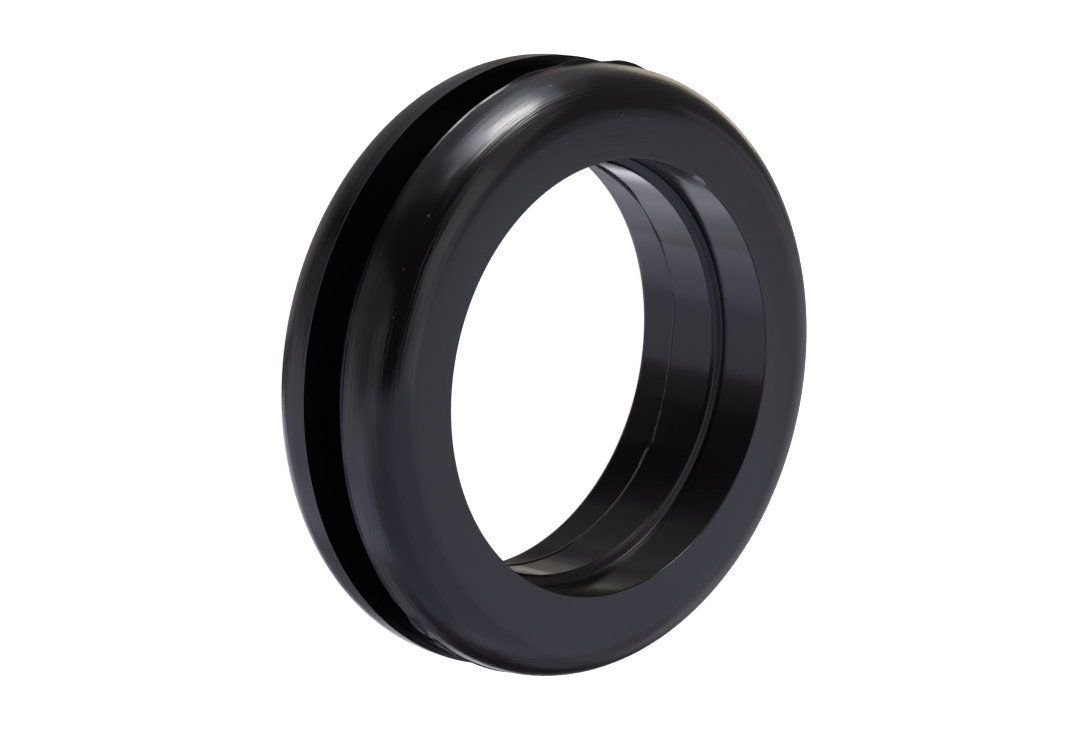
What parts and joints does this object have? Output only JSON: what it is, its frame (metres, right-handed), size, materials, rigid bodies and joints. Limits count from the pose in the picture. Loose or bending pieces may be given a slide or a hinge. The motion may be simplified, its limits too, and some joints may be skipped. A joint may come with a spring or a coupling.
{
  "type": "rubber grommet",
  "caption": "Round moulded rubber grommet with two rounded flanges, a panel groove round its outside and a stepped bore for a cable or hose.",
  "frame": {"origin": "middle of the bottom flange's flat face, on the bore's axis", "axes": "+Z along the bore's axis, from the bottom flange to the top flange"},
  "size_m": [0.03, 0.03, 0.0086],
  "materials": {
    "rubber": "satin moulded black rubber"
  },
  "bodies": {
    "root": {"grommet": "rubber"}
  },
  "joints": []
}
